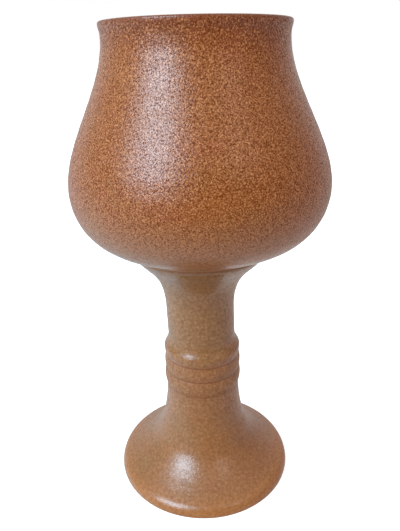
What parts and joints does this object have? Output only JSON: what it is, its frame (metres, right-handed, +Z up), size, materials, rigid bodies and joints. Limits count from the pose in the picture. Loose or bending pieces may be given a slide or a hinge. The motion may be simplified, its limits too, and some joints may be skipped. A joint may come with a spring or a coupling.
{
  "type": "communion chalice",
  "caption": "Stoneware chalice: deep swelling bowl with a small turned-out lip on a straight ribbed stem and trumpet foot.",
  "frame": {"origin": "centre of the foot ring, on the surface that the chalice stands on", "axes": "+Z up along the axis of the bowl and stem; X and Y are alike, because the object is turned"},
  "size_m": [0.1052, 0.1052, 0.2015],
  "materials": {
    "bowl_glaze": "satin speckled brown glaze",
    "pedestal_glaze": "satin olive brown glaze",
    "joining_slip": "fired slip under glaze"
  },
  "bodies": {
    "root": {"bowl": "bowl_glaze", "slip_joint": "joining_slip", "pedestal": "pedestal_glaze"}
  },
  "joints": []
}
